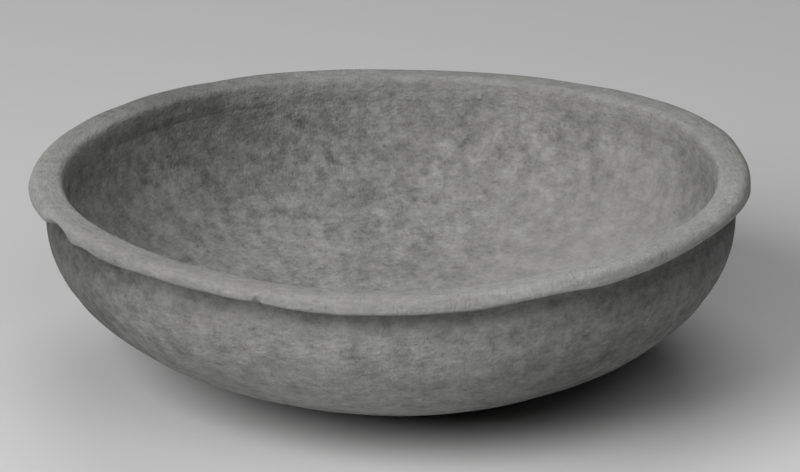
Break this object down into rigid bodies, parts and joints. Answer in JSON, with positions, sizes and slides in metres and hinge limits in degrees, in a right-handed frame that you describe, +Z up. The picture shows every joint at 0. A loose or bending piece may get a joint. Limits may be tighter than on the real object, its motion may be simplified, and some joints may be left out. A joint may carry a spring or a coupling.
{
  "type": "shallow pottery bowl",
  "caption": "Shallow round hand-built earthenware bowl: thick flat-topped rim coil over a grooved neck, upright shoulder, wall turning in to a small flat base. Holds food or small things.",
  "frame": {"origin": "centre of the flat resting face under the base", "axes": "+Z up along the bowl's axis; -Y faces the viewer of the reference view and +X is to the right there"},
  "size_m": [0.2491, 0.2509, 0.0748],
  "materials": {
    "fired_clay": "matte unglazed earthenware, hand smoothed, mottled grey"
  },
  "bodies": {
    "root": {"base_disc": "fired_clay", "lower_course": "fired_clay", "middle_course": "fired_clay", "upper_course": "fired_clay", "rim_coil": "fired_clay"}
  },
  "joints": []
}
